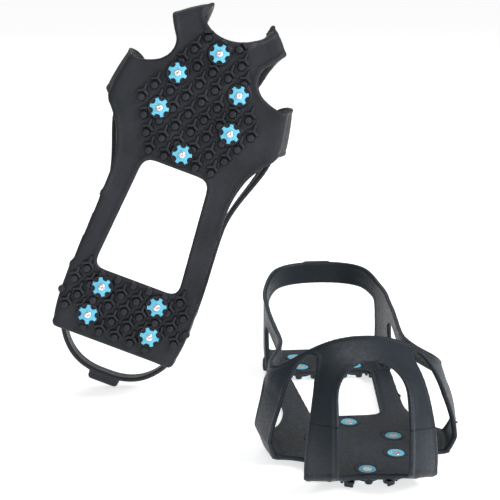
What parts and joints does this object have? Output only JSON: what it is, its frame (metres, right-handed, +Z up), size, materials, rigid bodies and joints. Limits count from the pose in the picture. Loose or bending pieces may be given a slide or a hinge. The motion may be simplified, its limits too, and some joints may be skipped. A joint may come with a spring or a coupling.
{
  "type": "shoe ice cleats",
  "caption": "Stretch-on rubber ice cleats for shoes: an open overshoe with straps over the toe, a heel loop, a lugged sole, and steel-tipped studs held in notched plastic discs.",
  "frame": {"origin": "centre of the pair's footprint, on the ground", "axes": "+Z up, -Y towards the toe of the cleat that stands on its studs, +X to its right as seen from in front"},
  "size_m": [0.297, 0.3145, 0.3093],
  "materials": {
    "rubber": "satin moulded rubber",
    "stud_plastic": "glossy moulded plastic",
    "steel": "bright turned steel"
  },
  "bodies": {
    "right_overshoe": {"right_sole_web": "rubber", "right_upper_cage": "rubber"},
    "right_heel_loop": {"right_heel_strap": "rubber"},
    "right_stud_1": {"right_stud_gear_1": "stud_plastic", "right_stud_pin_1": "steel"},
    "right_stud_2": {"right_stud_gear_2": "stud_plastic", "right_stud_pin_2": "steel"},
    "right_stud_3": {"right_stud_gear_3": "stud_plastic", "right_stud_pin_3": "steel"},
    "right_stud_4": {"right_stud_gear_4": "stud_plastic", "right_stud_pin_4": "steel"},
    "right_stud_5": {"right_stud_gear_5": "stud_plastic", "right_stud_pin_5": "steel"},
    "right_stud_6": {"right_stud_gear_6": "stud_plastic", "right_stud_pin_6": "steel"},
    "right_stud_7": {"right_stud_gear_7": "stud_plastic", "right_stud_pin_7": "steel"},
    "right_stud_8": {"right_stud_gear_8": "stud_plastic", "right_stud_pin_8": "steel"},
    "right_stud_9": {"right_stud_gear_9": "stud_plastic", "right_stud_pin_9": "steel"},
    "right_stud_10": {"right_stud_gear_10": "stud_plastic", "right_stud_pin_10": "steel"},
    "left_overshoe": {"left_sole_web": "rubber", "left_upper_cage": "rubber"},
    "left_heel_loop": {"left_heel_strap": "rubber"},
    "left_stud_1": {"left_stud_gear_1": "stud_plastic", "left_stud_pin_1": "steel"},
    "left_stud_2": {"left_stud_gear_2": "stud_plastic", "left_stud_pin_2": "steel"},
    "left_stud_3": {"left_stud_gear_3": "stud_plastic", "left_stud_pin_3": "steel"},
    "left_stud_4": {"left_stud_gear_4": "stud_plastic", "left_stud_pin_4": "steel"},
    "left_stud_5": {"left_stud_gear_5": "stud_plastic", "left_stud_pin_5": "steel"},
    "left_stud_6": {"left_stud_gear_6": "stud_plastic", "left_stud_pin_6": "steel"},
    "left_stud_7": {"left_stud_gear_7": "stud_plastic", "left_stud_pin_7": "steel"},
    "left_stud_8": {"left_stud_gear_8": "stud_plastic", "left_stud_pin_8": "steel"},
    "left_stud_9": {"left_stud_gear_9": "stud_plastic", "left_stud_pin_9": "steel"},
    "left_stud_10": {"left_stud_gear_10": "stud_plastic", "left_stud_pin_10": "steel"}
  },
  "joints": [
    {"name": "left_cleat_lay_down", "type": "hinge", "parent": "right_overshoe", "child": "left_overshoe", "pos_m": [-0.05998, -0.02088, 0], "axis": [1, 0, 0], "range_deg": [0, 102]},
    {"name": "right_heel_strap_pull", "type": "hinge", "parent": "right_overshoe", "child": "right_heel_loop", "pos_m": [0.06186, 0.11771, 0.0505], "axis": [-0.9966, -0.0819, 0], "range_deg": [0, 35], "stiffness_Nm_per_rad": 0.1},
    {"name": "right_stud_turn_1", "type": "hinge", "parent": "right_overshoe", "child": "right_stud_1", "pos_m": [0.08108, -0.1161, 0.004], "axis": [0, 0, -1], "continuous": true},
    {"name": "right_stud_turn_2", "type": "hinge", "parent": "right_overshoe", "child": "right_stud_2", "pos_m": [0.05491, -0.09427, 0.004], "axis": [0, 0, -1], "continuous": true},
    {"name": "right_stud_turn_3", "type": "hinge", "parent": "right_overshoe", "child": "right_stud_3", "pos_m": [0.10334, -0.09029, 0.004], "axis": [0, 0, -1], "continuous": true},
    {"name": "right_stud_turn_4", "type": "hinge", "parent": "right_overshoe", "child": "right_stud_4", "pos_m": [0.04885, -0.06577, 0.004], "axis": [0, 0, -1], "continuous": true},
    {"name": "right_stud_turn_5", "type": "hinge", "parent": "right_overshoe", "child": "right_stud_5", "pos_m": [0.10466, -0.06118, 0.004], "axis": [0, 0, -1], "continuous": true},
    {"name": "right_stud_turn_6", "type": "hinge", "parent": "right_overshoe", "child": "right_stud_6", "pos_m": [0.07456, -0.03677, 0.004], "axis": [0, 0, -1], "continuous": true},
    {"name": "right_stud_turn_7", "type": "hinge", "parent": "right_overshoe", "child": "right_stud_7", "pos_m": [0.04331, 0.07485, 0.004], "axis": [0, 0, -1], "continuous": true},
    {"name": "right_stud_turn_8", "type": "hinge", "parent": "right_overshoe", "child": "right_stud_8", "pos_m": [0.08716, 0.07845, 0.004], "axis": [0, 0, -1], "continuous": true},
    {"name": "right_stud_turn_9", "type": "hinge", "parent": "right_overshoe", "child": "right_stud_9", "pos_m": [0.03882, 0.09766, 0.004], "axis": [0, 0, -1], "continuous": true},
    {"name": "right_stud_turn_10", "type": "hinge", "parent": "right_overshoe", "child": "right_stud_10", "pos_m": [0.08786, 0.10169, 0.004], "axis": [0, 0, -1], "continuous": true},
    {"name": "left_heel_strap_pull", "type": "hinge", "parent": "left_overshoe", "child": "left_heel_loop", "pos_m": [-0.10361, 0.04019, 0.04442], "axis": [-0.9361, 0.0732, 0.3442], "range_deg": [0, 35], "stiffness_Nm_per_rad": 0.1},
    {"name": "left_stud_turn_1", "type": "hinge", "parent": "left_overshoe", "child": "left_stud_1", "pos_m": [-0.02107, 0.04037, 0.26888], "axis": [0, -0.9781, 0.2079], "continuous": true},
    {"name": "left_stud_turn_2", "type": "hinge", "parent": "left_overshoe", "child": "left_stud_2", "pos_m": [-0.05222, 0.03749, 0.25536], "axis": [0, -0.9781, 0.2079], "continuous": true},
    {"name": "left_stud_turn_3", "type": "hinge", "parent": "left_overshoe", "child": "left_stud_3", "pos_m": [-0.00673, 0.03394, 0.23864], "axis": [0, -0.9781, 0.2079], "continuous": true},
    {"name": "left_stud_turn_4", "type": "hinge", "parent": "left_overshoe", "child": "left_stud_4", "pos_m": [-0.06585, 0.03214, 0.23018], "axis": [0, -0.9781, 0.2079], "continuous": true},
    {"name": "left_stud_turn_5", "type": "hinge", "parent": "left_overshoe", "child": "left_stud_5", "pos_m": [-0.01343, 0.02804, 0.2109], "axis": [0, -0.9781, 0.2079], "continuous": true},
    {"name": "left_stud_turn_6", "type": "hinge", "parent": "left_overshoe", "child": "left_stud_6", "pos_m": [-0.04907, 0.02488, 0.196], "axis": [0, -0.9781, 0.2079], "continuous": true},
    {"name": "left_stud_turn_7", "type": "hinge", "parent": "left_overshoe", "child": "left_stud_7", "pos_m": [-0.10971, 0.00434, 0.09938], "axis": [0, -0.9781, 0.2079], "continuous": true},
    {"name": "left_stud_turn_8", "type": "hinge", "parent": "left_overshoe", "child": "left_stud_8", "pos_m": [-0.06852, 0.00112, 0.08424], "axis": [0, -0.9781, 0.2079], "continuous": true},
    {"name": "left_stud_turn_9", "type": "hinge", "parent": "left_overshoe", "child": "left_stud_9", "pos_m": [-0.12027, 0.00003, 0.07912], "axis": [0, -0.9781, 0.2079], "continuous": true},
    {"name": "left_stud_turn_10", "type": "hinge", "parent": "left_overshoe", "child": "left_stud_10", "pos_m": [-0.07421, -0.00357, 0.06219], "axis": [0, -0.9781, 0.2079], "continuous": true}
  ]
}
